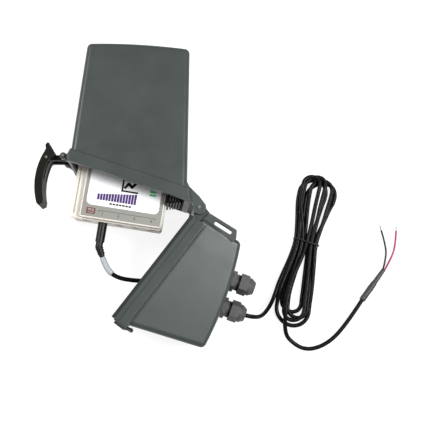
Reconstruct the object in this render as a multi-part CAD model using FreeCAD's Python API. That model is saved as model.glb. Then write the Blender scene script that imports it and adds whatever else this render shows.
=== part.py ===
import FreeCAD, Part

import math
import os

# Weatherproof hinged enclosure with a data logger, shown open on its back.
# Units are millimetres. +Z is up, out of the flat back that the enclosure lies on.
# The two shells are drawn closed, in the hinge frame: the hinge pin stands on the
# origin, +X runs to the latch, +Y into the lower shell and -Y into the cover.

# Driving dimensions: enclosure
DEPTH = 76.0            # rim bands, back to front
BODY_DEPTH = 74.0       # shell walls at the rim
END_DEPTH = 62.0        # shell walls at the far ends, where the front has sloped down
WALL = 2.8
EDGE_RADIUS = 5.0
COVER_BULGE = 2.0       # the end walls are slightly convex
LOWER_BULGE = 3.9
LOWER_TURN = 232.68     # hinge frame to part frame, lower shell
OPENING = 70.62         # how far the cover stands open
PIN_X = 45.52
PIN_Y = -15.54
PIN_RADIUS = 1.5
RUNNING_GAP = 0.05

# Driving dimensions: logger, drawn upright and then leant with the cover
LOGGER_WIDTH = 82.0
LOGGER_LENGTH = 90.0
LOGGER_BACK = 23.4
LOGGER_SPLIT = 30.0
LOGGER_SHOULDER = 47.0
LOGGER_FRONT = 52.0
LOGGER_LEAN = -8.4
LOGGER_X = -68.18
LOGGER_Y = -22.24
CASE_WALL = 2.5
PORT_Z = 40.0
PORT_PLACES = (27.8, 42.8, 57.8, 73.0)
SERVICE_PORT_X = 13.0
JACK_BORE = 1.8
CASE_SCREWS = [(7.5, 7.5), (74.5, 20.0), (7.5, 82.5), (74.5, 82.5)]
PLUG_END = 17.6         # how far the plug's grip stands out of its port
BOOT_ELBOW = 22.0
BOOT_TURN = 28.0
BOOT_END_LENGTH = 9.4
BOOT_RADIUS = 3.4

# Driving dimensions: glands, size PG9
GLAND_THREAD = 7.6
GLAND_FLATS = 17.0
GLAND_WASHER = 9.2
GLAND_RING = 7.6
GLAND_CAP = 8.3
GLAND_MOUTH = 5.8
GLAND_RING_REACH = 6.6      # the black ring's distance from the wall
GLAND_CAP_LENGTH = 16.95    # from the ring's inner face to the cap's end
GLAND_Z = 36.0
GLAND_PLACES = (32.7, 58.3)
CABLE_RADIUS = 2.0
WIRE_RADIUS = 0.9

# Driving dimensions: latch
PIN_B = (129.0, -6.5)
LINK_LENGTH = 15.6
LINK_ANGLE = 18.7
LATCH_LOW = 33.0
LATCH_HIGH = 60.0
LATCH_PIN = 1.2
LINK_LEVELS = [(36.4, 41.0), (52.0, 56.6)]
LATCHED_LINK = 64.0     # where the link lies in the lever's own frame once latched
PIN_A = (PIN_B[0] + LINK_LENGTH * math.cos(math.radians(LINK_ANGLE)),
         PIN_B[1] + LINK_LENGTH * math.sin(math.radians(LINK_ANGLE)))

# Outlines of the two shells, in the hinge frame with the enclosure closed
LOWER_BODY = [(5.0, 10.0), (120.1, 10.0), (94.9, 78.8), (0.8, 48.3)]
LOWER_BAND = [(8.7, 1.2), (122.2, 1.2), (122.2, 14.0), (9.8, 14.0)]
END_START = LOWER_BODY[3]
END_ANGLE = math.degrees(math.atan2(LOWER_BODY[2][1] - LOWER_BODY[3][1], LOWER_BODY[2][0] - LOWER_BODY[3][0]))
COVER_BODY = [(14.6, -10.0), (122.8, -10.0), (144.05, -113.26), (54.19, -140.46)]
COVER_BAND = [(9.0, -2.2), (122.6, -2.2), (124.6, -7.7), (123.8, -13.4), (14.4, -13.4)]
CATCH = [(121.0, 2.0), (125.0, 2.0), (125.0, 12.3), (123.1, 16.0), (122.85, 19.4), (121.8, 20.4), (120.2, 20.0),
         (119.4, 18.2), (120.4, 15.0), (121.0, 13.0)]
CRADLE_SCREWS = [(12.0, 56.0), (70.0, 46.0), (14.0, 104.0), (68.0, 104.0)]

# Free cable: where its centre line runs, in the part frame
LEAD_IN_ROUTE = [(90.75, -110.0, 36), (107.9, -116.3, 31), (120.3, -112.0, 15), (127.3, -96.4, 4.2),
                 (127.8, -77, 3.4)]
TAIL_ROUTE = [(134.5, -92, 4), (132, -112, 2.3), (136.5, -133, 2.1), (152.5, -143.5, 2.1),
              (173.5, -138, 2.1), (192.5, -120, 2.3), (209.5, -95, 3.2)]
BLACK_ROUTE = [(231.75, -64.25, 3.2), (235.9, -53, 1.25), (235.8, -40.5, 1.05), (231.9, -26, 1.05)]
RED_ROUTE = [(233.25, -65.4, 3.2), (240.9, -54, 1.25), (245.8, -41, 1.05), (247, -26, 1.05)]
TIP_LENGTH = 5.0
SHRINK_HEADING = 52.7
SHRINK_STEPS = (22.0, 16.0)

# Outline of the hank that the spare cable is tied into
HANK_UPPER = [(146, -36), (151, -2), (160, 25), (166, 29), (176, 22), (184, 6), (182, -12), (172, -33), (166, -42)]
HANK_LOWER = [(162, -62), (161, -90), (153, -112), (143, -121), (131, -114), (125, -95), (127, -76), (136, -55)]
HANK_HEIGHT = 12.5
HANK_TIE_PLACE = (156.0, -39.0)
HANK_TIE_TURN = -17.0

parts = {}


def vec(x, y, z=0.0):
    return FreeCAD.Vector(x, y, z)


def block(x0, x1, y0, y1, z0, z1):
    return Part.makeBox(x1 - x0, y1 - y0, z1 - z0, vec(x0, y0, z0))


def rod(x, y, z0, z1, radius):
    return Part.makeCylinder(radius, z1 - z0, vec(x, y, z0))


def prism(corners, z0, z1):
    """A straight-sided solid on a list of corners."""
    points = [vec(x, y, z0) for x, y in corners]
    return Part.Face(Part.makePolygon(points + points[:1])).extrude(vec(0, 0, z1 - z0))


def bulged_prism(corners, z0, z1, bulge):
    """A four-sided solid whose third side bows outward by bulge."""
    a, b, c, d = [vec(x, y, z0) for x, y in corners]
    centre = (a + b) * 0.5
    middle = (c + d) * 0.5
    outward = (middle - centre).normalize()
    edges = [
        Part.LineSegment(a, b).toShape(),
        Part.LineSegment(b, c).toShape(),
        Part.Arc(c, middle + outward * bulge, d).toShape(),
        Part.LineSegment(d, a).toShape(),
    ]
    return Part.Face(Part.Wire(edges)).extrude(vec(0, 0, z1 - z0))


def moved_in(corners, gaps):
    """The corners of a polygon after each side has moved inward by its gap."""
    centre_x = sum(x for x, _ in corners) / len(corners)
    centre_y = sum(y for _, y in corners) / len(corners)
    lines = []
    for (x0, y0), (x1, y1), gap in zip(corners, corners[1:] + corners[:1], gaps):
        length = math.hypot(x1 - x0, y1 - y0)
        nx = (y0 - y1) / length
        ny = (x1 - x0) / length
        if nx * (centre_x - x0) + ny * (centre_y - y0) < 0:
            nx, ny = -nx, -ny
        lines.append((nx, ny, nx * x0 + ny * y0 + gap))
    inner = []
    for (a0, b0, c0), (a1, b1, c1) in zip(lines[-1:] + lines[:-1], lines):
        det = a0 * b1 - a1 * b0
        inner.append(((c0 * b1 - c1 * b0) / det, (a0 * c1 - a1 * c0) / det))
    return inner


def slope_cut(mouth_y, end_y, z_mouth, z_end):
    """Everything in front of a plane that drops from the mouth to the far end."""
    reach = 1.3 * (end_y - mouth_y)
    drop = (z_mouth - z_end) * 1.3
    corners = [(mouth_y, z_mouth), (mouth_y + reach, z_mouth - drop),
               (mouth_y + reach, 2 * DEPTH), (mouth_y, 2 * DEPTH)]
    points = [vec(-50, y, z) for y, z in corners]
    return Part.Face(Part.makePolygon(points + points[:1])).extrude(vec(250, 0, 0))


def rounded(shape, radius, keep_edge):
    """The shape with each edge that keep_edge chooses rounded."""
    chosen = [e for e in shape.Edges if keep_edge(e.valueAt((e.FirstParameter + e.LastParameter) / 2))]
    return shape.makeFillet(radius, chosen)


def turned(shape, angle, x, y):
    """A copy turned about the Z axis and then moved."""
    copy = shape.copy()
    copy.rotate(vec(0, 0, 0), vec(0, 0, 1), angle)
    copy.translate(vec(x, y, 0))
    return copy


def in_lower(shape):
    return turned(shape, LOWER_TURN, PIN_X, PIN_Y)


def in_cover(shape):
    return turned(shape, LOWER_TURN - OPENING, PIN_X, PIN_Y)


def in_logger(shape):
    return turned(shape, LOGGER_LEAN, LOGGER_X, LOGGER_Y)


def hexagon(flats, y0, y1):
    """A hexagonal bar along +Y."""
    radius = flats / math.sqrt(3)
    corners = [vec(radius * math.cos(math.radians(60 * i)), y0, radius * math.sin(math.radians(60 * i)))
               for i in range(6)]
    return Part.Face(Part.makePolygon(corners + corners[:1])).extrude(vec(0, y1 - y0, 0))


def bar(radius, y0, y1):
    """A round bar along +Y."""
    return Part.makeCylinder(radius, y1 - y0, vec(0, y0, 0), vec(0, 1, 0))


def tube_along(points, radius, name):
    """A round tube on straight runs joined by tangent arcs; prints its radii and checks its volume."""
    spots = [vec(*p) for p in points]
    edges = []
    length = 0.0
    radii = []
    start = spots[0]
    for before, corner, after in zip(spots, spots[1:], spots[2:]):
        inward = (corner - before).normalize()
        outward = (after - corner).normalize()
        turn = inward.getAngle(outward)
        reach = 0.45 * min((corner - before).Length, (after - corner).Length)
        bend = reach / math.tan(turn / 2)
        enter = corner - inward * reach
        leave = corner + outward * reach
        to_centre = (outward - inward).normalize()
        middle = corner + to_centre * (bend / math.cos(turn / 2) - bend)
        edges.append(Part.LineSegment(start, enter).toShape())
        edges.append(Part.Arc(enter, middle, leave).toShape())
        length += (enter - start).Length + bend * turn
        radii.append(round(bend, 1))
        start = leave
    edges.append(Part.LineSegment(start, spots[-1]).toShape())
    length += (spots[-1] - start).Length
    first = (spots[1] - spots[0]).normalize()
    section = Part.Wire([Part.makeCircle(radius, spots[0], first)])
    tube = Part.Wire(edges).makePipeShell([section], True, False)
    wanted = math.pi * radius ** 2 * length
    print(name, "length", round(length, 1), "radii", radii, "volume ratio", round(tube.Volume / wanted, 4))
    return tube


def at_gland(shape, along):
    """Moves a shape drawn on the +Y axis to a place on the lower shell's end wall."""
    copy = shape.copy()
    copy.rotate(vec(0, 0, 0), vec(0, 0, 1), END_ANGLE)
    x = END_START[0] + along * math.cos(math.radians(END_ANGLE))
    y = END_START[1] + along * math.sin(math.radians(END_ANGLE))
    copy.translate(vec(x, y, GLAND_Z))
    return copy


def lower_cavity():
    inner = moved_in(LOWER_BODY, [0, WALL, WALL, WALL])
    hollow = bulged_prism(inner, WALL, 2 * DEPTH, LOWER_BULGE)
    hollow = hollow.cut(slope_cut(10.0, LOWER_BODY[2][1], BODY_DEPTH - WALL, END_DEPTH - WALL))
    return hollow.fuse(block(12.0, 119.4, 0.0, 12.0, WALL, DEPTH - WALL - 2))


def mounting_ear():
    """A flange beside the hinge with a slot for a strap or tie."""
    ear = prism([(6.0, 9.0), (-2.0, 10.3), (-4.8, 38.6), (1.6, 42.7), (6.0, 42.0)], 63.0, 70.0)
    ear = rounded(ear, 2.0, lambda p: abs(p.z - 66.5) < 1 and p.x < 3)
    slot = prism([(-0.3, 19.0), (3.7, 19.0), (2.1, 36.5), (-1.9, 36.5)], 60.0, 74.0)
    slot = rounded(slot, 1.4, lambda p: abs(p.z - 67.0) < 1)
    return ear, slot


def lower_shell():
    body = bulged_prism(LOWER_BODY, 0, 2 * DEPTH, LOWER_BULGE)
    body = body.cut(slope_cut(10.0, LOWER_BODY[2][1], BODY_DEPTH, END_DEPTH))
    body = rounded(body, EDGE_RADIUS, lambda p: p.y > 10.5 and p.z > 1)
    band = rounded(prism(LOWER_BAND, 0, DEPTH), 1.5, lambda p: p.z > 5 and p.y > 2)
    web = prism([(-4.7, 1.5), (-2.5, 10.3), (5.6, 14.0), (11.0, 9.0), (9.2, 1.4), (4.2, -2.6)], 10.4, 67.6)
    knuckle = rod(0, 0, 10.4, 67.6, 5.0).fuse(web)
    ear, slot = mounting_ear()
    catch = prism(CATCH, 38.0, 55.0)
    shell = body.fuse([band, knuckle, ear, catch]).removeSplitter()
    shell = shell.cut([lower_cavity(), slot, rod(0, 0, 0, DEPTH, PIN_RADIUS)])
    shell = shell.cut(block(3.0, 118.5, 14.3, 15.3, BODY_DEPTH - 1.0, DEPTH))
    shell = shell.cut(block(10.5, 121.0, 4.8, 5.5, DEPTH - 0.6, DEPTH + 1.0))
    for along in GLAND_PLACES:
        shell = shell.cut(at_gland(bar(GLAND_THREAD + 0.1, -12, 12), along))
    return shell.removeSplitter()


def rim_seal():
    ring = block(10.2, 121.2, -1.8, 1.2, 0.8, DEPTH - 0.4)
    return ring.cut(block(12.8, 118.6, -3, 3, 3.4, DEPTH - 3.0))


def gland(number, along, insert_bore):
    """A cable gland's five pieces, drawn on +Y with the wall's outer face near y = 1."""
    outside = LOWER_BULGE + 0.05
    inside = outside - WALL - 1.9
    ring = outside + GLAND_RING_REACH
    stem = bar(GLAND_THREAD, inside - 7.0, ring)
    body = stem.fuse(hexagon(GLAND_FLATS, outside + 1.6, ring - 1.9)).cut(bar(5.0, -30, 40))
    washer = bar(GLAND_WASHER, outside, outside + 1.6).cut(bar(GLAND_THREAD, -5, 10))
    locknut = hexagon(GLAND_FLATS, inside - 5.0, inside).cut(bar(GLAND_THREAD, -20, 5))
    insert = bar(4.9, outside + 1.0, ring).fuse(bar(GLAND_RING, ring, ring + 2.4))
    insert = insert.cut(bar(insert_bore, -5, 40))
    shoulder = ring + GLAND_CAP_LENGTH - 4.2
    cap = hexagon(GLAND_FLATS, ring + 2.4, shoulder - 2.4).fuse(bar(GLAND_CAP, shoulder - 3.4, shoulder))
    dome = Part.makeCone(GLAND_CAP, GLAND_MOUTH, 4.2, vec(0, shoulder, 0), vec(0, 1, 0))
    cap = cap.fuse(dome).cut(bar(4.3, -5, 40)).removeSplitter()
    pieces = {"body": body, "washer": washer, "locknut": locknut, "insert": insert, "cap": cap}
    for piece, shape in pieces.items():
        parts[f"gland_{number}_{piece}"] = in_lower(at_gland(shape.removeSplitter(), along))


def cover_cavity():
    inner = moved_in(COVER_BODY, [0, WALL, WALL, WALL])
    hollow = bulged_prism(inner, WALL, 2 * DEPTH, COVER_BULGE)
    hollow = hollow.cut(slope_cut(-10.0, COVER_BODY[3][1], BODY_DEPTH - WALL, END_DEPTH - WALL))
    return hollow.fuse(block(14.2, 119.8, -12.5, 0.0, WALL, DEPTH - WALL - 2))


def hinge_arm(z0, z1):
    corners = [(19.0, -20.0), (14.1, -14.9), (2.8, -9.2), (-4.4, -4.1), (0.0, 0.0), (9.3, -2.2), (19.0, -2.2)]
    return prism(corners, z0, z1).fuse(rod(0, 0, z0, z1, 6.0))


def latch_lug(z0, z1):
    corners = [(121.5, -12.0), (126.5, -9.3), (129.0, -6.5), (126.5, -3.6), (121.5, -2.4)]
    return prism(corners, z0, z1).fuse(rod(PIN_B[0], PIN_B[1], z0, z1, 3.0))


def cover_shell():
    body = bulged_prism(COVER_BODY, 0, 2 * DEPTH, COVER_BULGE)
    body = body.cut(slope_cut(-10.0, COVER_BODY[3][1], BODY_DEPTH, END_DEPTH))
    body = rounded(body, EDGE_RADIUS, lambda p: p.y < -10.5 and p.z > 1)
    band = rounded(prism(COVER_BAND, 0, DEPTH), 1.2, lambda p: p.z > 5 and -13.6 < p.y < -3)
    shell = body.fuse([band, hinge_arm(5.0, 10.1), hinge_arm(67.9, 73.0)])
    shell = shell.fuse([latch_lug(24.0, LATCH_LOW - 0.4), latch_lug(LATCH_HIGH + 0.4, 66.0)])
    shell = shell.removeSplitter().cut(cover_cavity())
    shell = shell.cut(rod(0, 0, 0, DEPTH, PIN_RADIUS + RUNNING_GAP))
    shell = shell.cut(rod(PIN_B[0], PIN_B[1], 0, DEPTH, LATCH_PIN))
    shell = in_cover(shell)
    for x, y in CRADLE_SCREWS:
        shell = shell.fuse(in_logger(rod(x, y, WALL - 1, LOGGER_BACK - 4.0, 4.0)))
    for x, y in CRADLE_SCREWS:
        shell = shell.cut(in_logger(rod(x, y, 6.0, LOGGER_BACK, 1.4)))
    return shell.removeSplitter()


def mouth_seal():
    ring = block(14.2, 119.8, -11.5, -2.6, WALL, DEPTH - WALL - 2)
    return ring.cut(block(16.0, 118.0, -20, 0, WALL + 1.8, DEPTH - WALL - 3.8))


def logger_cradle():
    """The tray that guides the logger, with the ribbed hand-hold block on the hinge side."""
    low = LOGGER_BACK - 3.9
    high = LOGGER_BACK - 0.3
    tray = prism([(-4.0, 58.0), (40.0, 43.0), (84.0, 36.0), (84.0, 112.0), (-4.0, 112.0)], low, high)
    left_rail = block(-4.0, -0.6, 58.0, 112.0, low, 40.0)
    right_rail = block(82.6, 85.2, 60.0, 108.0, low, 40.0)
    grip = prism([(82.6, 24.0), (96.0, 27.0), (89.0, 60.0), (82.6, 60.0)], low, 62.0)
    tray = tray.fuse([left_rail, right_rail, grip, block(80.0, 84.0, 36.0, 60.0, low, high)])
    for i in range(5):
        x = 84.6 + 2.6 * i
        tray = tray.cut(block(x, x + 1.0, 20.0, 33.0, low - 1, 63.0))
    for x, y in CRADLE_SCREWS:
        tray = tray.cut([rod(x, y, 0, DEPTH, 1.7), rod(x, y, high - 2.2, DEPTH, 3.2)])
    return tray.removeSplitter()


def cradle_screws():
    screws = []
    for x, y in CRADLE_SCREWS:
        head = rod(x, y, LOGGER_BACK - 2.4, LOGGER_BACK - 0.5, 3.0)
        screws.append(head.fuse(rod(x, y, 7.0, LOGGER_BACK - 2.4, 1.4)))
    return Part.makeCompound(screws)


def link_plate(z0, z1):
    """One flat plate of the latch with an eye on each pin, drawn along +X and then turned."""
    plate = block(0, LINK_LENGTH, -2.4, 2.4, z0, z1)
    plate = plate.fuse([rod(0, 0, z0, z1, 3.0), rod(LINK_LENGTH, 0, z0, z1, 3.0)])
    plate = plate.cut(rod(0, 0, 0, DEPTH, LATCH_PIN + RUNNING_GAP))
    plate = plate.cut(rod(LINK_LENGTH, 0, 0, DEPTH, LATCH_PIN))
    return turned(plate.removeSplitter(), LINK_ANGLE, PIN_B[0], PIN_B[1])


def lever():
    """A curved handle with a hooked nose, slotted where the link plates fold into it."""
    x, y = PIN_A
    spot = {
        "neck": vec(x + 3.0, y - 7.2, LATCH_LOW),
        "hook": vec(x + 4.4, y - 10.4, LATCH_LOW),
        "tip": vec(x + 3.7, y - 12.9, LATCH_LOW),
        "nose_end": vec(x + 1.8, y - 13.1, LATCH_LOW),
        "nose_side": vec(x - 0.6, y - 9.6, LATCH_LOW),
        "shoulder": vec(x - 4.0, y - 8.0, LATCH_LOW),
        "cheek": vec(x - 6.6, y - 3.4, LATCH_LOW),
        "inner_start": vec(x - 2.6, y + 2.0, LATCH_LOW),
        "inner_middle": vec(x - 3.3, y + 17.2, LATCH_LOW),
        "inner_end": vec(x - 10.2, y + 36.4, LATCH_LOW),
        "toe": vec(x - 11.0, y + 40.2, LATCH_LOW),
        "heel": vec(x - 8.2, y + 43.0, LATCH_LOW),
        "outer_end": vec(x - 5.8, y + 41.8, LATCH_LOW),
        "outer_middle": vec(x + 3.826, y + 17.0, LATCH_LOW),
        "outer_start": vec(x + 3.3, y - 4.5, LATCH_LOW),
    }
    straight = ["outer_start", "neck", "hook", "tip", "nose_end", "nose_side", "shoulder", "cheek", "inner_start"]
    edges = [Part.LineSegment(spot[a], spot[b]).toShape() for a, b in zip(straight, straight[1:])]
    edges.append(Part.Arc(spot["inner_start"], spot["inner_middle"], spot["inner_end"]).toShape())
    for a, b in (("inner_end", "toe"), ("toe", "heel"), ("heel", "outer_end")):
        edges.append(Part.LineSegment(spot[a], spot[b]).toShape())
    edges.append(Part.Arc(spot["outer_end"], spot["outer_middle"], spot["outer_start"]).toShape())
    shape = Part.Face(Part.Wire(edges)).extrude(vec(0, 0, LATCH_HIGH - LATCH_LOW))
    for z0, z1 in LINK_LEVELS:
        shape = shape.cut(rod(x, y, z0 - 0.3, z1 + 0.3, 19.5))
    rest = math.radians(LATCHED_LINK)
    notch = rod(x + LINK_LENGTH * math.cos(rest), y + LINK_LENGTH * math.sin(rest), 0, DEPTH, LATCH_PIN + 0.7)
    return shape.cut([notch, rod(x, y, 0, DEPTH, LATCH_PIN + RUNNING_GAP)])


# Logger
def front_case():
    wide = rounded(block(0, LOGGER_WIDTH, 0, LOGGER_LENGTH, LOGGER_SPLIT, LOGGER_SHOULDER), 3.0,
                   lambda p: LOGGER_SPLIT + 1 < p.z < LOGGER_SHOULDER - 1)
    raised = rounded(block(6.5, 80.8, 1.6, 88.4, LOGGER_SHOULDER - 1, LOGGER_FRONT), 2.0,
                     lambda p: LOGGER_SHOULDER < p.z < LOGGER_FRONT - 1)
    lip = rounded(block(-2.4, 3.0, 0.6, 86.0, 41.6, 46.4), 1.0, lambda p: p.x < -2.3 and 42 < p.z < 46)
    case = wide.fuse(raised)
    case = rounded(case, 0.8, lambda p: p.z > LOGGER_FRONT - 0.1 or abs(p.z - LOGGER_SHOULDER) < 0.1 and p.x < 3)
    case = case.fuse(lip)
    inner = block(CASE_WALL, LOGGER_WIDTH - CASE_WALL, CASE_WALL, LOGGER_LENGTH - CASE_WALL,
                  LOGGER_SPLIT - 1, LOGGER_SHOULDER - CASE_WALL)
    upper = block(9.0, 78.3, 4.2, 85.8, LOGGER_SHOULDER - 3, LOGGER_FRONT - CASE_WALL)
    case = case.cut([inner.fuse(upper), block(0.3, 1.4, 4.0, 84.0, LOGGER_SHOULDER - 1.2, LOGGER_SHOULDER + 1.0)])
    for x in PORT_PLACES + (SERVICE_PORT_X,):
        case = case.cut(turned(bar(4.2, -1, 5), 0, x, 0).translated(vec(0, 0, PORT_Z)))
    return case.removeSplitter()


def rear_case():
    shell = block(0, LOGGER_WIDTH, 0, LOGGER_LENGTH, LOGGER_BACK, LOGGER_SPLIT)
    shell = rounded(shell, 3.0, lambda p: LOGGER_BACK + 1 < p.z < LOGGER_SPLIT - 1)
    shell = rounded(shell, 1.0, lambda p: p.z < LOGGER_BACK + 0.1)
    hollow = block(CASE_WALL, LOGGER_WIDTH - CASE_WALL, CASE_WALL, LOGGER_LENGTH - CASE_WALL,
                   LOGGER_BACK + CASE_WALL, LOGGER_SPLIT + 1)
    shell = shell.cut(hollow)
    for x, y in CASE_SCREWS:
        post = rod(x, y, LOGGER_BACK + 1, LOGGER_SPLIT + 3.0, 3.0)
        shell = shell.fuse(post)
    for x, y in CASE_SCREWS:
        shell = shell.cut([rod(x, y, 0, DEPTH, 1.25), rod(x, y, 0, LOGGER_BACK + 1.8, 2.4)])
    return shell.removeSplitter()


def case_screws():
    screws = []
    for x, y in CASE_SCREWS:
        head = rod(x, y, LOGGER_BACK + 0.2, LOGGER_BACK + 1.8, 2.3)
        screws.append(head.fuse(rod(x, y, LOGGER_BACK + 1.8, LOGGER_SPLIT + 6.0, 1.25)))
    return Part.makeCompound(screws)


def circuit_board():
    board = block(4.0, 78.0, 4.0, 84.0, LOGGER_SPLIT + 3.5, LOGGER_SPLIT + 5.1)
    for x, y in CASE_SCREWS:
        board = board.cut(rod(x, y, 0, DEPTH, 1.6))
    return board


def jack(x):
    """A 3.5 mm socket whose nose fills the case's round port."""
    nose = bar(4.1, 0.3, 3.0)
    housing = block(-4.0, 4.0, 3.0, 14.0, LOGGER_SPLIT + 5.1 - PORT_Z, 4.0)
    shape = nose.fuse(housing).cut(bar(JACK_BORE, -1, 12.3))
    return shape.removeSplitter().translated(vec(x, 0, PORT_Z))


def boot_direction():
    """Where the strain relief heads after its elbow, in the logger's own frame."""
    return vec(math.sin(math.radians(BOOT_TURN)), -math.cos(math.radians(BOOT_TURN)), 0)


def strain_relief():
    """A ribbed boot that leaves the plug straight and then bends towards the lower shell."""
    elbow = vec(0, -BOOT_ELBOW, 0)
    ahead = boot_direction()
    boot = bar(BOOT_RADIUS, -BOOT_ELBOW, -PLUG_END).fuse(Part.makeSphere(BOOT_RADIUS, elbow))
    boot = boot.fuse(Part.makeCone(BOOT_RADIUS, 2.6, BOOT_END_LENGTH, elbow, ahead))
    for i in range(3):
        boot = boot.fuse(Part.makeCylinder(3.7 - 0.15 * i, 1.1, elbow + ahead * (1.2 + 2.4 * i), ahead))
    return boot.cut(bar(1.6, -BOOT_ELBOW + 1.0, -PLUG_END + 1.0)).removeSplitter()


def at_plug(shape):
    return in_logger(shape.translated(vec(PORT_PLACES[0], 0, PORT_Z)))


def boot_end():
    """Where the lead leaves the boot, in the part frame."""
    local = vec(PORT_PLACES[0], -BOOT_ELBOW, PORT_Z) + boot_direction() * (BOOT_END_LENGTH + 0.1)
    lean = math.radians(LOGGER_LEAN)
    return (LOGGER_X + local.x * math.cos(lean) - local.y * math.sin(lean),
            LOGGER_Y + local.x * math.sin(lean) + local.y * math.cos(lean), PORT_Z)


def gland_tip(along, reach):
    """A point on a gland's axis in the part frame, at a given reach outside the end wall."""
    lean = math.radians(END_ANGLE)
    x = END_START[0] + along * math.cos(lean) - reach * math.sin(lean)
    y = END_START[1] + along * math.sin(lean) + reach * math.cos(lean)
    turn = math.radians(LOWER_TURN)
    return (PIN_X + x * math.cos(turn) - y * math.sin(turn),
            PIN_Y + x * math.sin(turn) + y * math.cos(turn), GLAND_Z)


def label_sleeve(start, end):
    """A straight marker sleeve that sits loosely on the lead."""
    axis = vec(*end) - vec(*start)
    middle = (vec(*end) + vec(*start)) * 0.5
    base = middle - axis.normalize() * 4.5
    ring = Part.makeCylinder(3.4, 9.0, base, axis)
    return ring.cut(Part.makeCylinder(2.9, 20.0, base - axis * 3.0, axis))


def hank():
    outline = HANK_UPPER + HANK_LOWER
    edges = Part.BSplineCurve()
    edges.interpolate([vec(x, y, 0.05) for x, y in outline], PeriodicFlag=True)
    return Part.Face(Part.Wire([edges.toShape()])).extrude(vec(0, 0, HANK_HEIGHT))


def hank_tie():
    """A tie wrapped round the middle of the hank."""
    band = block(-16.0, 16.0, -2.2, 2.2, 0.0, HANK_HEIGHT + 1.2)
    band = band.cut(block(-14.8, 14.8, -3, 3, 0.05, HANK_HEIGHT + 0.05))
    return turned(band, HANK_TIE_TURN, *HANK_TIE_PLACE)


def heat_shrink(start, heading):
    """Two steps of heat-shrink tubing where the cable's jacket ends."""
    direction = vec(math.cos(math.radians(heading)), math.sin(math.radians(heading)), 0)
    base = vec(*start)
    wide = Part.makeCylinder(3.1, SHRINK_STEPS[0], base, direction)
    narrow = Part.makeCone(2.6, 2.2, SHRINK_STEPS[1], base + direction * SHRINK_STEPS[0], direction)
    return wide.fuse(narrow).removeSplitter()


def wire_tips():
    tips = []
    for route in (BLACK_ROUTE, RED_ROUTE):
        end = vec(*route[-1])
        direction = (end - vec(*route[-2])).normalize()
        tips.append(Part.makeCylinder(0.5, TIP_LENGTH, end, direction))
    return Part.makeCompound(tips)


def build_enclosure():
    parts["lower_shell"] = in_lower(lower_shell())
    parts["lower_rim_seal"] = in_lower(rim_seal())
    parts["hinge_pin"] = in_lower(rod(0, 0, 3.0, DEPTH - 1.5, PIN_RADIUS))
    gland(1, GLAND_PLACES[0], 3.0)
    gland(2, GLAND_PLACES[1], CABLE_RADIUS + 0.1)
    parts["cover_shell"] = cover_shell()
    parts["cover_mouth_seal"] = in_cover(mouth_seal())
    parts["logger_cradle"] = in_logger(logger_cradle())
    parts["cradle_screws"] = in_logger(cradle_screws())


def build_latch():
    parts["latch_cover_pin"] = in_cover(rod(PIN_B[0], PIN_B[1], 22.0, 68.0, LATCH_PIN))
    for name, (z0, z1) in zip(("latch_link_rear", "latch_link_front"), LINK_LEVELS):
        parts[name] = in_cover(link_plate(z0, z1))
    parts["latch_lever_pin"] = in_cover(rod(PIN_A[0], PIN_A[1], LATCH_LOW - 0.3, LATCH_HIGH + 0.5, LATCH_PIN))
    parts["latch_lever"] = in_cover(lever())


def build_logger():
    parts["logger_front_case"] = in_logger(front_case())
    parts["logger_rear_case"] = in_logger(rear_case())
    parts["logger_label_plate"] = in_logger(block(8.0, 79.6, 3.0, 87.0, LOGGER_FRONT, LOGGER_FRONT + 0.5))
    parts["circuit_board"] = in_logger(circuit_board())
    holder = rod(41.0, 50.0, LOGGER_SPLIT - 1.0, LOGGER_SPLIT + 3.5, 14.0)
    holder = holder.cut(rod(41.0, 50.0, LOGGER_SPLIT - 2.0, LOGGER_SPLIT + 2.7, 12.4))
    parts["battery_holder"] = in_logger(holder)
    parts["coin_cell"] = in_logger(rod(41.0, 50.0, LOGGER_SPLIT - 2.3, LOGGER_SPLIT + 2.7, 12.2))
    parts["case_screws"] = in_logger(case_screws())
    for number, x in enumerate(PORT_PLACES, start=1):
        parts[f"port_jack_{number}"] = in_logger(jack(x))
    parts["service_jack"] = in_logger(jack(SERVICE_PORT_X))
    parts["plug_tip"] = at_plug(bar(1.7, -2.0, 11.5))
    parts["plug_body"] = at_plug(bar(4.2, -PLUG_END, -0.2).cut(bar(1.7, -2.0, 1.0)))
    parts["strain_relief"] = at_plug(strain_relief())


def build_cables():
    start = boot_end()
    lead = [start, (start[0] + 3.5, start[1] - 10.6, PORT_Z), (start[0] + 13.4, start[1] - 19.3, PORT_Z),
            (start[0] + 31.4, start[1] - 21.9, 39.5), (start[0] + 50.9, start[1] - 21.6, 38.0),
            gland_tip(GLAND_PLACES[1], -28.5), gland_tip(GLAND_PLACES[1], 28.5)]
    print("inner lead route", [tuple(round(c, 1) for c in p) for p in lead])
    parts["inner_lead"] = tube_along(lead, CABLE_RADIUS, "inner_lead")
    parts["label_sleeve"] = label_sleeve(lead[1], lead[2])
    parts["cable_lead_in"] = tube_along(LEAD_IN_ROUTE, CABLE_RADIUS, "cable_lead_in")
    parts["cable_hank"] = hank()
    parts["hank_tie"] = hank_tie()
    parts["cable_tail"] = tube_along(TAIL_ROUTE, CABLE_RADIUS, "cable_tail")
    parts["heat_shrink"] = heat_shrink(TAIL_ROUTE[-1], SHRINK_HEADING)
    parts["wire_black"] = tube_along(BLACK_ROUTE, WIRE_RADIUS, "wire_black")
    parts["wire_red"] = tube_along(RED_ROUTE, WIRE_RADIUS, "wire_red")
    parts["wire_tips"] = wire_tips()


build_enclosure()
build_latch()
build_logger()
build_cables()
os.makedirs("parts", exist_ok=True)
for node, shape in parts.items():
    shape.exportStep(f"parts/{node}.step")
    print(node, len(shape.Solids), shape.isValid(), round(shape.Volume), shape.BoundBox)
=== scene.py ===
import math

import bmesh
import bpy
from mathutils import Matrix, Vector


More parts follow.
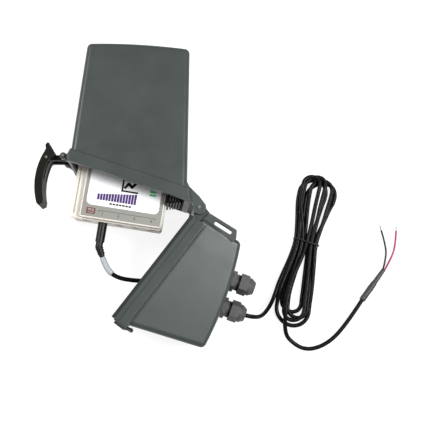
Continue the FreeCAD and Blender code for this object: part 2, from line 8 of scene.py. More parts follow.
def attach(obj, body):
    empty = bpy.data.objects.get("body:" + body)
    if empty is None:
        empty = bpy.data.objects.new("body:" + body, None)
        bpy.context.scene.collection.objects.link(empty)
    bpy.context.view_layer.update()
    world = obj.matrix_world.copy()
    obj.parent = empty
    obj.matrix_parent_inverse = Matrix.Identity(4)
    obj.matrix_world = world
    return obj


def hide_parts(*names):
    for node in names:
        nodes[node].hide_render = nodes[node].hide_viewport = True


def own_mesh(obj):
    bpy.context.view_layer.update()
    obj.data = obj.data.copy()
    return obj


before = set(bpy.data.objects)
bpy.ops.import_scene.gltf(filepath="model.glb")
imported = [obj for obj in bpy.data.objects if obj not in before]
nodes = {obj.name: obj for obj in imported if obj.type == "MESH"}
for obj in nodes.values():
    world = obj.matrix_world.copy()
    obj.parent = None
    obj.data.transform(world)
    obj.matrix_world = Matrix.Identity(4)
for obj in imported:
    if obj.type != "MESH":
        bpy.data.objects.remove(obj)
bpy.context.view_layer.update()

MM = 0.001

CAMERA_PLACE = (0.00502, -0.11134, 0.710)
CAMERA_TURN = (8.163, -4.639, 0.0)  # degrees about X, Y and Z, from looking straight down
LENS_LENGTH = 62.15
SENSOR_WIDTH = 36.0

FLOOR_HALF = 4.0
FLOOR_LEVEL = -0.0002
FLOOR_GREY = 0.2
FLOOR_GLOW = 0.86  # the floor's own light, which keeps it white right up to the object
WORLD_LOW = 0.2
WORLD_HIGH = 0.75


# ---------------------------------------------------------------- camera, floor, light

def make_camera():
    lens = bpy.data.cameras.new("camera")
    lens.lens = LENS_LENGTH
    lens.sensor_width = SENSOR_WIDTH
    camera = bpy.data.objects.new("camera", lens)
    camera.location = CAMERA_PLACE
    camera.rotation_euler = [math.radians(angle) for angle in CAMERA_TURN]
    bpy.context.scene.collection.objects.link(camera)
    bpy.context.scene.camera = camera


def make_floor():
    """A plain pale sheet just under the object."""
    mesh = bpy.data.meshes.new("floor")
    corners = [(x * FLOOR_HALF, y * FLOOR_HALF, FLOOR_LEVEL) for x, y in ((-1, -1), (1, -1), (1, 1), (-1, 1))]
    mesh.from_pydata(corners, [], [(0, 1, 2, 3)])
    floor = bpy.data.objects.new("floor", mesh)
    bpy.context.scene.collection.objects.link(floor)
    paint = bpy.data.materials.new("floor_white")
    paint.use_nodes = True
    shader = paint.node_tree.nodes["Principled BSDF"]
    shader.inputs["Base Color"].default_value = (FLOOR_GREY, FLOOR_GREY, FLOOR_GREY, 1)
    shader.inputs["Roughness"].default_value = 0.9
    shader.inputs["Specular IOR Level"].default_value = 0.1
    shader.inputs["Emission Color"].default_value = (1, 1, 1, 1)
    shader.inputs["Emission Strength"].default_value = FLOOR_GLOW
    mesh.materials.append(paint)


def area_light(name, place, target, size, watts, tint=(1, 1, 1)):
    """A round soft light that faces the target."""
    light = bpy.data.lights.new(name, "AREA")
    light.shape = "DISK"
    light.size = size
    light.energy = watts
    light.color = tint
    lamp = bpy.data.objects.new(name, light)
    lamp.location = place
    lamp.rotation_euler = (Vector(target) - Vector(place)).to_track_quat("-Z", "Y").to_euler()
    bpy.context.scene.collection.objects.link(lamp)


def make_light():
    """A grey world that is lighter overhead, a soft key light and a second one for the sheen."""
    world = bpy.data.worlds.new("studio")
    world.use_nodes = True
    tree = world.node_tree
    place = add_node(tree, "ShaderNodeTexCoord")
    height = add_node(tree, "ShaderNodeSeparateXYZ")
    tree.links.new(place.outputs["Generated"], height.inputs["Vector"])
    brightness = ramp(tree, height.outputs["Z"], 0.0, 1.0, WORLD_LOW, WORLD_HIGH)
    tree.nodes["Background"].inputs["Color"].default_value = (1, 1, 1, 1)
    tree.links.new(brightness, tree.nodes["Background"].inputs["Strength"])
    bpy.context.scene.world = world
    bpy.context.scene.view_settings.view_transform = "Standard"
    area_light("key", (-1.1, 0.5, 1.25), (0, 0, 0.03), 0.6, 24)
    area_light("sheen", (0.88, 0.0, 1.3), (0.06, -0.08, 0.06), 0.5, 28, (0.95, 0.98, 1.0))


# ---------------------------------------------------------------- materials

def colour(red, green, blue):
    """A screen colour of 0 to 255 a channel as the linear colour that a shader takes."""
    def linear(value):
        value /= 255
        return value / 12.92 if value <= 0.04045 else ((value + 0.055) / 1.055) ** 2.4
    return (linear(red), linear(green), linear(blue), 1.0)


def add_node(tree, kind, settings=None, **inputs):
    """A new node with its settings, and its inputs given by name with _ for each space."""
    node = tree.nodes.new(kind)
    for name, value in (settings or {}).items():
        setattr(node, name, value)
    for name, value in inputs.items():
        node.inputs[name.replace("_", " ")].default_value = value
    return node


def ramp(tree, source, low, high, low_value, high_value):
    """Maps source from low..high to low_value..high_value."""
    node = add_node(tree, "ShaderNodeMapRange")
    limits = {"From Min": low, "From Max": high, "To Min": low_value, "To Max": high_value}
    for name, value in limits.items():
        node.inputs[name].default_value = value
    tree.links.new(source, node.inputs["Value"])
    return node.outputs["Result"]


def mixed(tree, factor, first, second):
    """Mixes two colours, each a colour or a socket."""
    node = add_node(tree, "ShaderNodeMix", {"data_type": "RGBA"})
    tree.links.new(factor, node.inputs["Factor"])
    colour_a, colour_b = node.inputs[6], node.inputs[7]
    for socket, value in ((colour_a, first), (colour_b, second)):
        if isinstance(value, bpy.types.NodeSocket):
            tree.links.new(value, socket)
        else:
            socket.default_value = value
    return node.outputs[2]


def noise(tree, scale, detail=3.0):
    place = add_node(tree, "ShaderNodeTexCoord")
    node = add_node(tree, "ShaderNodeTexNoise", Scale=scale, Detail=detail, Roughness=0.55)
    tree.links.new(place.outputs["Object"], node.inputs["Vector"])
    return node.outputs["Fac"]


def plastic(name, base, shade, rough, grain, grain_depth, edge_wear_and_highlight=None, edge_size=0.0, blotch=18.0, metallic=0.0,
            specular=0.5):
    """A moulded or painted surface: blotchy tone, fine grain, and edges painted lighter, partly as wear and
    partly as painted highlight.
    """
    paint = bpy.data.materials.new(name)
    paint.use_nodes = True
    tree = paint.node_tree
    shader = tree.nodes["Principled BSDF"]
    shader.inputs["Metallic"].default_value = metallic
    shader.inputs["Specular IOR Level"].default_value = specular
    tone = ramp(tree, noise(tree, blotch), 0.35, 0.65, 0.0, 1.0)
    surface = mixed(tree, tone, colour(*base), colour(*shade))
    # Edges painted lighter: partly wear, partly painted highlight standing in for light caught on the edges.
    if edge_wear_and_highlight is not None:
        surface = mixed(tree, edges(tree, edge_size), surface, colour(*edge_wear_and_highlight))
    tree.links.new(surface, shader.inputs["Base Color"])
    tree.links.new(ramp(tree, noise(tree, blotch * 3), 0.3, 0.7, rough - 0.05, rough + 0.06),
                   shader.inputs["Roughness"])
    bump = add_node(tree, "ShaderNodeBump", Strength=0.5, Distance=grain_depth)
    tree.links.new(noise(tree, grain, 2.0), bump.inputs["Height"])
    tree.links.new(bump.outputs["Normal"], shader.inputs["Normal"])
    return paint


def edges(tree, size):
    """1 along outer and inner edges, and 0 on open faces."""
    soft = add_node(tree, "ShaderNodeBevel", {"samples": 4}, Radius=size)
    flat = add_node(tree, "ShaderNodeNewGeometry")
    product = add_node(tree, "ShaderNodeVectorMath", {"operation": "DOT_PRODUCT"})
    tree.links.new(soft.outputs["Normal"], product.inputs[0])
    tree.links.new(flat.outputs["Normal"], product.inputs[1])
    return ramp(tree, product.outputs["Value"], 0.995, 0.80, 0.0, 0.55)


def ribbed(name, base, shade, rough, rib_scale):
    """Heat-shrink tubing: dark, with shallow wrinkles over the fine grain."""
    paint = plastic(name, base, shade, rough, 700.0, 0.0001)
    tree = paint.node_tree
    shader = tree.nodes["Principled BSDF"]
    grain_normal = shader.inputs["Normal"].links[0].from_socket
    place = add_node(tree, "ShaderNodeTexCoord")
    wrinkle = add_node(tree, "ShaderNodeTexNoise", Scale=rib_scale, Detail=1.0)
    tree.links.new(place.outputs["Object"], wrinkle.inputs["Vector"])
    bump = add_node(tree, "ShaderNodeBump", Strength=0.6, Distance=0.0004)
    tree.links.new(wrinkle.outputs["Fac"], bump.inputs["Height"])
    tree.links.new(grain_normal, bump.inputs["Normal"])
    tree.links.new(bump.outputs["Normal"], shader.inputs["Normal"])
    return paint


# Each finish: its material's name, its two tones, its roughness, the fineness and depth of its grain, and
# what else differs from the usual. An edge is the tone and the reach of edges painted lighter: partly wear,
# partly painted highlight.
FINISHES = {
    "shell": ("shell_plastic", (41, 47, 44), (47, 53, 50), 0.40, 1700, 0.00006,
              {"edge_wear_and_highlight": (60, 66, 63), "edge_size": 0.0008, "specular": 0.4}),
    "seal": ("seal_rubber", (8, 8, 9), (13, 13, 14), 0.7, 900, 0.00008, {"specular": 0.2}),
    "rim_seal": ("rim_seal_rubber", (25, 28, 27), (30, 33, 32), 0.6, 900, 0.00008, {"specular": 0.2}),
    "steel": ("pin_steel", (128, 128, 125), (104, 104, 102), 0.34, 2500, 0.00002, {"metallic": 1.0}),
    "cradle": ("cradle_plastic", (5, 5, 6), (8, 8, 9), 0.4, 1500, 0.00005,
               {"edge_wear_and_highlight": (16, 17, 18), "edge_size": 0.0008, "specular": 0.07}),
    "latch": ("latch_plastic", (21, 20, 17), (26, 24, 21), 0.42, 1400, 0.00005,
              {"edge_wear_and_highlight": (60, 56, 50), "edge_size": 0.0008, "specular": 0.04}),
    "gland": ("gland_nylon", (60, 58, 58), (69, 67, 67), 0.46, 1800, 0.00008,
              {"edge_wear_and_highlight": (84, 82, 82), "edge_size": 0.0007, "specular": 0.35}),
    "gland_rubber": ("gland_rubber", (6, 6, 6), (10, 10, 10), 0.6, 900, 0.00008, {"specular": 0.2}),
    "logger_case": ("logger_plastic", (198, 192, 183), (190, 183, 173), 0.42, 1500, 0.00003,
                    {"edge_wear_and_highlight": (214, 210, 203), "edge_size": 0.0009}),
    "logger_jack": ("logger_jack", (172, 165, 156), (164, 157, 148), 0.5, 1500, 0.00003, {}),
    "label_grey": ("label_grey", (120, 119, 113), (114, 113, 107), 0.5, 2400, 0.00002, {}),
    "label_white": ("label_white", (214, 213, 215), (208, 207, 209), 0.45, 2400, 0.00001, {}),
    "print_purple": ("print_purple", (44, 12, 76), (62, 24, 98), 0.4, 2400, 0.00001, {"blotch": 160}),
    "print_black": ("print_black", (8, 8, 9), (16, 16, 17), 0.4, 2400, 0.00001, {"specular": 0.25}),
    "print_green": ("print_green", (38, 150, 84), (56, 168, 100), 0.4, 2400, 0.00001, {}),
    "print_red": ("print_red", (104, 44, 44), (90, 36, 38), 0.4, 2400, 0.00001, {}),
    "print_grey": ("print_grey", (58, 57, 54), (68, 66, 63), 0.45, 2400, 0.00001, {}),
    "board": ("board_green", (22, 78, 48), (28, 92, 56), 0.4, 800, 0.00005, {}),
    "jack": ("jack_black", (10, 10, 11), (16, 16, 17), 0.4, 1200, 0.00004, {"specular": 0.25}),
    "contact": ("contact_brass", (206, 188, 130), (186, 168, 112), 0.3, 2400, 0.00002, {"metallic": 1.0}),
    "plug": ("plug_rubber", (9, 8, 7), (14, 13, 12), 0.42, 1300, 0.00004,
             {"edge_wear_and_highlight": (38, 36, 34), "edge_size": 0.0006, "specular": 0.2}),
    "sleeve": ("sleeve_pale", (152, 155, 158), (140, 144, 148), 0.35, 1500, 0.00003, {}),
    "cable": ("cable_jacket", (6, 6, 7), (9, 9, 10), 0.33, 1600, 0.000003, {"blotch": 60, "specular": 0.09}),
    "tie": ("tie_black", (8, 8, 9), (14, 14, 15), 0.4, 1500, 0.00005, {"specular": 0.3}),
    "wire_black": ("wire_black", (12, 14, 14), (19, 22, 21), 0.4, 2200, 0.00001,
                   {"blotch": 90, "specular": 0.25}),
    "wire_red": ("wire_red", (132, 20, 62), (150, 34, 80), 0.4, 2200, 0.00001,
                 {"blotch": 90, "specular": 0.25}),
}


def make_materials():
    paints = {key: plastic(*finish[:6], **finish[6]) for key, finish in FINISHES.items()}
    paints["shrink"] = ribbed("shrink_black", (24, 24, 25), (34, 34, 34), 0.5, 260)
    return paints


NODE_FINISH = {
    "lower_shell": "shell", "lower_rim_seal": "rim_seal", "hinge_pin": "steel", "cover_shell": "shell",
    "cover_mouth_seal": "seal", "logger_cradle": "cradle", "cradle_screws": "steel",
    "latch_cover_pin": "steel", "latch_link_rear": "latch", "latch_link_front": "latch",
    "latch_lever_pin": "steel", "latch_lever": "latch", "logger_front_case": "logger_case",
    "logger_rear_case": "logger_case", "logger_label_plate": "label_grey", "circuit_board": "board",
    "battery_holder": "jack", "coin_cell": "steel", "case_screws": "steel", "service_jack": "logger_jack",
    "plug_tip": "contact", "plug_body": "plug", "strain_relief": "plug", "wire_tips": "steel",
}
SOFT_EDGED = ("latch_lever", "latch_link_rear", "latch_link_front", "gland_1_cap", "gland_2_cap")
SOFT_EDGE = 0.35  # mm


def finish_nodes(paints):
    """Gives every CAD node its finish, and takes the sharpness off the handled plastic."""
    for number in (1, 2):
        for piece in ("body", "washer", "locknut", "cap"):
            NODE_FINISH[f"gland_{number}_{piece}"] = "gland"
        NODE_FINISH[f"gland_{number}_insert"] = "gland_rubber"
    for number in (1, 2, 3, 4):
        NODE_FINISH[f"port_jack_{number}"] = "logger_jack"
    for name, finish in NODE_FINISH.items():
        for slot in nodes[name].material_slots:
            slot.material = paints[finish]
    for name in SOFT_EDGED:
        bevel = nodes[name].modifiers.new("soft_edges", "BEVEL")
        bevel.width = SOFT_EDGE * MM
        bevel.segments = 2
        bevel.limit_method = "ANGLE"
        bevel.angle_limit = math.radians(38)


# ---------------------------------------------------------------- mesh helpers

def new_piece(name, mesh, paint, body):
    """A visible piece of one material that rides on a body."""
    piece = bpy.data.objects.new(name, mesh)
    bpy.context.scene.collection.objects.link(piece)
    piece.data.materials.clear()
    piece.data.materials.append(paint)
    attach(piece, body)
    return piece


def spline_curve(name, route, radius=0.0):
    """A NURBS curve with the route's points as its control points."""
    curve = bpy.data.curves.new(name, "CURVE")
    curve.dimensions = "3D"
    curve.resolution_u = 8
    curve.bevel_depth = radius
    curve.bevel_resolution = 5
    curve.use_fill_caps = True
    spline = curve.splines.new("NURBS")
    spline.points.add(len(route) - 1)
    for point, place in zip(spline.points, route):
        point.co = (*place, 1.0)
    spline.order_u = 3
    spline.use_endpoint_u = True
    return curve


def spline_points(route):
    """Points along the route's NURBS spline."""
    curve = spline_curve("measure", route)
    carrier = bpy.data.objects.new("measure", curve)
    bpy.context.scene.collection.objects.link(carrier)
    mesh = bpy.data.meshes.new_from_object(carrier)
    points = [v.co.copy() for v in mesh.vertices]
    bpy.data.objects.remove(carrier)
    bpy.data.curves.remove(curve)
    bpy.data.meshes.remove(mesh)
    return points


def metres(route):
    return [tuple(c * MM for c in point) for point in route]


def path_length(points):
    return sum((b - a).length for a, b in zip(points, points[1:]))


def stretch(points, start, end, count):
    """Evenly spaced points on a path, from start to end metres along it."""
    marks = [0.0]
    for a, b in zip(points, points[1:]):
        marks.append(marks[-1] + (b - a).length)
    found = []
    for i in range(count):
        mark = start + (end - start) * i / (count - 1)
        mark = min(max(mark, 0.0), marks[-1])
        j = next(k for k in range(1, len(marks)) if marks[k] >= mark - 1e-9)
        share = (mark - marks[j - 1]) / (marks[j] - marks[j - 1])
        found.append(points[j - 1].lerp(points[j], share))
    return found


def tube(name, points, radius_at, sides=24):
    """A closed tube along points, with its radius given by the share of the way along."""
    mesh = bpy.data.meshes.new(name)
    shape = bmesh.new()
    rings = []
    side = Vector((0, 0, 1))
    for i, point in enumerate(points):
        ahead = (points[min(i + 1, len(points) - 1)] - points[max(i - 1, 0)]).normalized()
        side = (side - ahead * side.dot(ahead)).normalized()
        across = ahead.cross(side)
        radius = radius_at(i / (len(points) - 1))
        ring = []
        for k in range(sides):
            turn = 2 * math.pi * k / sides
            ring.append(shape.verts.new(point + (side * math.cos(turn) + across * math.sin(turn)) * radius))
        rings.append(ring)
    for a, b in zip(rings, rings[1:]):
        for k in range(sides):
            shape.faces.new((a[k], a[(k + 1) % sides], b[(k + 1) % sides], b[k]))
    shape.faces.new(rings[0][::-1])
    shape.faces.new(rings[-1])
    bmesh.ops.recalc_face_normals(shape, faces=shape.faces)
    for face in shape.faces:
        face.smooth = len(face.verts) == 4
    shape.to_mesh(mesh)
    shape.free()
    return mesh


# ---------------------------------------------------------------- cables

# Radii and lengths of the cables, and the cords' routes, are in mm.
CABLE_RADIUS = 2.0
WIRE_RADIUS = 0.9
SLEEVE_RADIUS = 2.8
SLEEVE_END_RADIUS = 2.5
SLEEVE_SPAN = (0.6, 18.5)  # along the inner lead, from the strain relief

# The outer lead leaves the gland and goes down to the hank, and the tail goes from it to the heat shrink.
LEAD_IN_ROUTE = [(90.9, -109.9, 36), (99.5, -112.0, 34), (109.5, -110.0, 18), (119.0, -99.5, 6.5),
                 (124.0, -88.0, 3.8), (127.8, -77, 3.4)]
TAIL_ROUTE = [(134.5, -92, 9.6), (132, -112, 9.8), (132.6, -124, 5.0), (136.5, -133, 2.1),
              (152.5, -143.5, 2.1), (173.5, -138, 2.1), (192.5, -120, 2.3), (209.5, -95, 3.2)]
INNER_ROUTE = [(-40.7, -57.0, 40), (-37.2, -67.6, 40), (-27.3, -76.3, 40), (-9.3, -78.9, 39.5),
               (10.2, -78.6, 38), (37.2, -91.0, 36), (90.9, -109.9, 36)]
BLACK_ROUTE = [(231.75, -64.25, 3.2), (235.9, -53, 1.25), (235.8, -40.5, 1.05), (231.9, -26, 1.05)]
RED_ROUTE = [(233.25, -65.4, 3.2), (240.9, -54, 1.25), (245.8, -41, 1.05), (247, -26, 1.05)]

HANK_TIE = (156.0, -39.0)
HANK_UP = (0.155, 0.988)
LOOP_CORNERS = (162, 126, 90, 54, 18)  # degrees round the end of a loop
CORNER_REACH = 1.05  # how far out a corner stands, so that the spline inside it keeps the loop's width
LOOP_SKEW = 0.6  # how much of its apex's sideways offset a loop follows
LOOP_LEAD = 0.65  # how far the straight sides go before a loop's end turns, in half widths

# One row a turn, in mm from the tie: how far across its left and right sides pass the tie, the left and right
# sides of its top loop and the loop's apex (up, across), the left side of the bottom loop that it comes up
# from, and the right side and apex (up, across) of the bottom loop that it goes down to. The last turn ends
# in the tail.
TURNS = [
    {"tie": (-11.0, 1.7), "top": (-14.5, 12.0), "top_apex": (63.0, 2.0), "from": -25.0,
     "right": 2.5, "bottom_apex": (-69.0, -5.0)},
    {"tie": (-6.8, 6.0), "top": (-7.5, 20.5), "top_apex": (61.0, 13.0), "from": -17.0,
     "right": 8.5, "bottom_apex": (-74.0, 0.0)},
    {"tie": (-2.6, 8.1), "top": (-4.5, 17.0), "top_apex": (63.0, 9.0), "from": -10.5,
     "right": 11.0, "bottom_apex": (-82.0, -3.0)},
    {"tie": (-8.9, 3.85), "top": (-11.0, 9.0), "top_apex": (65.5, 4.0), "from": -21.0,
     "right": 5.5, "bottom_apex": (-77.0, -6.0)},
    {"tie": (-4.7, -0.45), "top": (-13.0, 3.5), "top_apex": (64.5, -4.0), "from": -14.0,
     "right": None, "bottom_apex": None},
]
LEVELS = {  # height of each turn: left of the tie, its top loop, right of the tie, its bottom loop
    0: (2.1, 2.1, 2.1, 2.1), 1: (2.1, 4.4, 2.1, 4.6), 2: (2.1, 6.7, 5.7, 2.6), 3: (5.7, 9.0, 5.7, 7.1),
    4: (5.7, 11.2, 5.9, 9.0),
}


def in_hank(up, across, height):
    """A point given up and across from the tie, along the hank's own directions."""
    return (HANK_TIE[0] + up * HANK_UP[0] + across * HANK_UP[1],
            HANK_TIE[1] + up * HANK_UP[1] - across * HANK_UP[0], height)


def between(a, b, share):
    return a + (b - a) * share


def round_end(start, end, apex_up, apex_across, side):
    """Points (up, across) round a loop's end, from its start side to its end side; side is 1 at the top."""
    middle = (start + end) / 2
    half = (end - start) / 2
    points = []
    for turn in LOOP_CORNERS:
        up = CORNER_REACH * math.sin(math.radians(turn))
        across = CORNER_REACH * half * math.cos(math.radians(turn))
        skew = (apex_across - middle) * LOOP_SKEW * math.sin(math.radians(turn))
        points.append((apex_up - side * abs(half) * (1 - up), middle + across + skew))
    lead = side * abs(half) * LOOP_LEAD
    return [(points[0][0] - lead, start), *points, (points[-1][0] - lead, end)]


def hank_route():
    """The hank's turns: up the left side, round the top loop, down the right side, round the bottom loop."""
    route = []
    for i, turn in enumerate(TURNS):
        left, right = turn["tie"]
        low, top, back, bottom = LEVELS[i]
        if i > 0:
            route.append(in_hank(-52, turn["from"], low + 0.6))
            route.append(in_hank(-38, between(left, turn["from"], 0.72), low))
        route.append(in_hank(-17, between(left, turn["from"], 0.24), low))
        route.append(in_hank(0, left, low))
        top_left, top_right = turn["top"]
        apex_up, apex_across = turn["top_apex"]
        route.append(in_hank(17, between(left, top_left, 0.3), between(low, top, 0.2)))
        route.append(in_hank(37, top_left, between(low, top, 0.6)))
        for up, across in round_end(top_left, top_right, apex_up, apex_across, 1):
            route.append(in_hank(up, across, top))
        route.append(in_hank(38, between(top_right, top_left, 0.08), between(back, top, 0.6)))
        route.append(in_hank(20, between(right, top_right, 0.5), between(back, top, 0.2)))
        route.append(in_hank(0, right, back))
        if turn["right"] is None:
            route.append(in_hank(-18, between(right, -12, 0.35), bottom))
            route.append(in_hank(-37, -10.5, bottom + 0.6))
            continue
        after = TURNS[i + 1]
        bottom_up, bottom_across = turn["bottom_apex"]
        route.append(in_hank(-20, between(right, turn["right"], 0.45), back))
        route.append(in_hank(-45, turn["right"], between(back, bottom, 0.5)))
        for up, across in round_end(turn["right"], after["from"], bottom_up, bottom_across, -1):
            route.append(in_hank(up, across, bottom))
    return route


def make_cable(paints):
    route = metres(LEAD_IN_ROUTE + hank_route() + TAIL_ROUTE)
    curve = spline_curve("sensor_cable", route, CABLE_RADIUS * MM)
    cable = new_piece("sensor_cable", curve, paints["cable"], "base")
    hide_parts("cable_lead_in", "cable_hank", "cable_tail")
    length = path_length(spline_points(route))
    shrink = make_heat_shrink(paints)
    tie = make_tie(paints)


def make_wires(paints):
    for name, points in (("wire_black", BLACK_ROUTE), ("wire_red", RED_ROUTE)):
        route = metres(points)
        curve = spline_curve(name, route, WIRE_RADIUS * MM)
        wire = new_piece(f"bare_{name}", curve, paints[name], "base")
        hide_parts(name)
        round(path_length(spline_points(route)), 3)


SHRINK_HEADING = math.radians(52.7)
SHRINK_PROFILE = [  # (along the cable, radius): the wide step, the narrow step, and the drawn-in end
    (-0.2, 2.15), (0.0, 2.75), (1.2, 3.05), (9.0, 2.9), (14.0, 3.05), (20.8, 2.85), (21.8, 2.5),
    (23.0, 2.35), (29.0, 2.3), (34.5, 2.1), (37.0, 2.0), (37.7, 1.7),
]


def make_heat_shrink(paints):
    """Two overlapping steps of tubing shrunk over the end of the jacket, drawn in to the two wires."""
    start = Vector(TAIL_ROUTE[-1]) * MM
    ahead = Vector((math.cos(SHRINK_HEADING), math.sin(SHRINK_HEADING), 0))
    points = [start + ahead * along * MM for along, _ in SHRINK_PROFILE]
    radii = [radius * MM for _, radius in SHRINK_PROFILE]
    mesh = tube("heat_shrink_tubing", points, lambda share: radii[round(share * (len(radii) - 1))], 20)
    shrink = new_piece("heat_shrink_tubing", mesh, paints["shrink"], "base")
    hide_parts("heat_shrink")
    return shrink


TIE_LEAN = math.radians(-17)
TIE_STEPS = 40
TIE_RADIUS = 0.8
TIE_HALF = (12.7, 4.35)  # across the hank and up
TIE_CENTRE = (-1.2, 5.2)


def bulged(value, power):
    """A sine or cosine pushed out towards a rectangle's side."""
    return math.copysign(abs(value) ** power, value)


def make_tie(paints):
    """A wire tie drawn tight round the hank."""
    along = Vector((math.cos(TIE_LEAN), math.sin(TIE_LEAN), 0))
    centre = Vector((HANK_TIE[0], HANK_TIE[1], 0)) * MM
    points = []
    for i in range(TIE_STEPS + 1):
        angle = 2 * math.pi * i / TIE_STEPS
        reach = TIE_HALF[0] * bulged(math.cos(angle), 0.8) + TIE_CENTRE[0]
        height = TIE_CENTRE[1] + TIE_HALF[1] * bulged(math.sin(angle), 0.7)
        points.append(centre + along * reach * MM + Vector((0, 0, height * MM)))
    mesh = tube("hank_wire_tie", points, lambda share: TIE_RADIUS * MM, 12)
    tie = new_piece("hank_wire_tie", mesh, paints["tie"], "base")
    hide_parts("hank_tie")
    return tie


def sleeve_radius(share):
    """The marker sleeve's radius, drawn in a little at both ends."""
    return (SLEEVE_RADIUS if 0.02 < share < 0.98 else SLEEVE_END_RADIUS) * MM


def make_inner_lead(paints):
    """The lead from the logger's plug to the gland, with its marker sleeve."""
    route = metres(INNER_ROUTE)
    points = spline_points(route)
    mesh = tube("logger_lead", points, lambda share: CABLE_RADIUS * MM)
    lead = new_piece("logger_lead", mesh, paints["cable"], "base")
    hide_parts("inner_lead")
    sleeve_path = stretch(points, SLEEVE_SPAN[0] * MM, SLEEVE_SPAN[1] * MM, 12)
    sleeve_mesh = tube("marker_sleeve", sleeve_path, sleeve_radius)
    sleeve = new_piece("marker_sleeve", sleeve_mesh, paints["sleeve"], "logger")
    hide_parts("label_sleeve")
    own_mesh(lead)


# ---------------------------------------------------------------- logger label

# The label is drawn in the upright logger's own millimetres, from its lower left corner.
LOGGER_LEAN = math.radians(-8.4)
LOGGER_PLACE = (-68.18, -22.24)
PLATE_FRONT = 52.5
PANEL_RISE = 0.12
PRINT_RISE = 0.08
PRINT_SUNK = 0.05
BAR_COUNT, FIRST_BAR, BAR_PITCH, BAR_WIDTH = 14, 19.8, 2.55, 2.1
BAR_FOOT, FIRST_BAR_TOP, BAR_STEP = 19.0, 24.6, 0.3
PORT_CENTRES = (26.8, 41.3, 55.7, 71.3)
NUMBER_SIZE = 4.2
NUMBER_FOOT = 5.4
CHART_LINE, CHART_AXIS, BRACKET_LINE = 2.4, 1.6, 0.45


def on_logger():
    """From the upright logger's millimetres to the row frame."""
    place = Matrix.Translation(Vector((*LOGGER_PLACE, 0)) * MM)
    return place @ Matrix.Rotation(LOGGER_LEAN, 4, "Z") @ Matrix.Scale(MM, 4)


def flat_shape(shape, outline, low, high):
    """Adds a straight-sided plate on an outline, between two levels."""
    bottom = [shape.verts.new((x, y, low)) for x, y in outline]
    top = [shape.verts.new((x, y, high)) for x, y in outline]
    shape.faces.new(top)
    shape.faces.new(bottom[::-1])
    count = len(outline)
    for i in range(count):
        shape.faces.new((bottom[i], bottom[(i + 1) % count], top[(i + 1) % count], top[i]))


def round_box(x0, x1, y0, y1, radius, steps=6):
    """The outline of a rectangle with round corners."""
    outline = []
    for cx, cy, first in ((x1 - radius, y1 - radius, 0), (x0 + radius, y1 - radius, 90),
                          (x0 + radius, y0 + radius, 180), (x1 - radius, y0 + radius, 270)):
        for i in range(steps + 1):
            angle = math.radians(first + 90 * i / steps)
            outline.append((cx + radius * math.cos(angle), cy + radius * math.sin(angle)))
    return outline


def stroke(ax, ay, bx, by, width):
    """The outline of a straight line of some width."""
    length = math.hypot(bx - ax, by - ay)
    nx = (ay - by) / length * width / 2
    ny = (bx - ax) / length * width / 2
    return [(ax + nx, ay + ny), (ax - nx, ay - ny), (bx - nx, by - ny), (bx + nx, by + ny)]


def printed(name, outlines, paint, level, thickness=PRINT_RISE):
    """Thin print on the label, a little sunk into the surface at that level."""
    mesh = bpy.data.meshes.new(name)
    shape = bmesh.new()
    for outline in outlines:
        flat_shape(shape, outline, level - PRINT_SUNK, level + thickness)
    bmesh.ops.recalc_face_normals(shape, faces=shape.faces)
    shape.transform(on_logger())
    shape.to_mesh(mesh)
    shape.free()
    return new_piece(name, mesh, paint, "logger")


def port_numbers(paint):
    """The numbers 1 to 4 over the sensor ports."""
    for number, x in enumerate(PORT_CENTRES, start=1):
        text = bpy.data.curves.new(f"number_{number}", "FONT")
        text.body = str(number)
        text.size = NUMBER_SIZE
        text.align_x = "CENTER"
        text.extrude = PRINT_RISE
        carrier = bpy.data.objects.new(f"number_{number}", text)
        bpy.context.scene.collection.objects.link(carrier)
        mesh = bpy.data.meshes.new_from_object(carrier)
        bpy.data.objects.remove(carrier)
        mesh.transform(on_logger() @ Matrix.Translation((x, NUMBER_FOOT, PLATE_FRONT)))
        new_piece(f"port_number_{number}", mesh, paint, "logger")


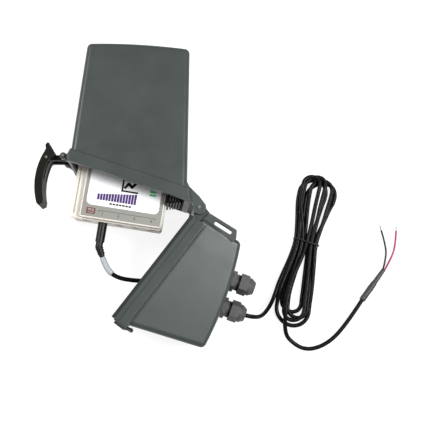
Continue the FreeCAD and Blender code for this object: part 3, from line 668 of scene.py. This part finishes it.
def make_label(paints):
    """A white panel with plain bars, a line chart, dashes and ticks, and the row of numbered ports."""
    panel_top = PLATE_FRONT + PANEL_RISE
    panel = round_box(10.9, 76.5, 13.6, 84.0, 4.5)
    printed("label_panel", [panel], paints["label_white"], PLATE_FRONT, PANEL_RISE)
    bars = []
    for i in range(BAR_COUNT):
        left = FIRST_BAR + BAR_PITCH * i
        bars.append(round_box(left, left + BAR_WIDTH, BAR_FOOT, FIRST_BAR_TOP + BAR_STEP * i, 0.5))
    printed("label_bars_purple", bars, paints["print_purple"], panel_top)
    chart = [stroke(41.0, 30.2, 41.0, 42.0, CHART_AXIS), stroke(40.2, 30.2, 55.5, 30.2, CHART_AXIS),
             stroke(42.8, 32.7, 46.2, 38.0, CHART_LINE), stroke(45.7, 38.2, 49.6, 34.2, CHART_LINE),
             stroke(48.9, 34.0, 54.6, 41.6, CHART_LINE)]
    printed("label_chart_black", chart, paints["print_black"], panel_top)
    dashes = [round_box(31.6 + 2.9 * i, 33.9 + 2.9 * i, 15.9, 17.5, 0.3) for i in range(7)]
    printed("label_dashes_black", dashes, paints["print_black"], panel_top)
    ticks = [round_box(65.9, 71.9, 29.4 + 3.0 * i, 31.2 + 3.0 * i, 0.6) for i in range(4)]
    printed("label_ticks_green", ticks, paints["print_green"], panel_top)
    printed("label_square_red", [round_box(12.2, 20.2, 5.3, 11.0, 0.8)], paints["print_red"], PLATE_FRONT)
    screen = [round_box(13.6, 16.6, 8.2, 10.2, 0.3), round_box(17.2, 18.9, 7.6, 10.2, 0.3),
              round_box(13.6, 18.9, 6.2, 7.0, 0.3)]
    printed("label_screen_pale", screen, paints["label_grey"], PLATE_FRONT + PRINT_RISE)
    bracket = [stroke(23.4, 9.5, 74.7, 9.5, BRACKET_LINE), stroke(23.5, 9.7, 23.5, 8.0, BRACKET_LINE),
               stroke(74.6, 9.7, 74.6, 8.0, BRACKET_LINE)]
    printed("label_bracket", bracket, paints["print_grey"], PLATE_FRONT)
    port_numbers(paints["print_grey"])


make_camera()
make_floor()
make_light()
paints = make_materials()
finish_nodes(paints)
make_cable(paints)
make_wires(paints)
make_inner_lead(paints)
make_label(paints)
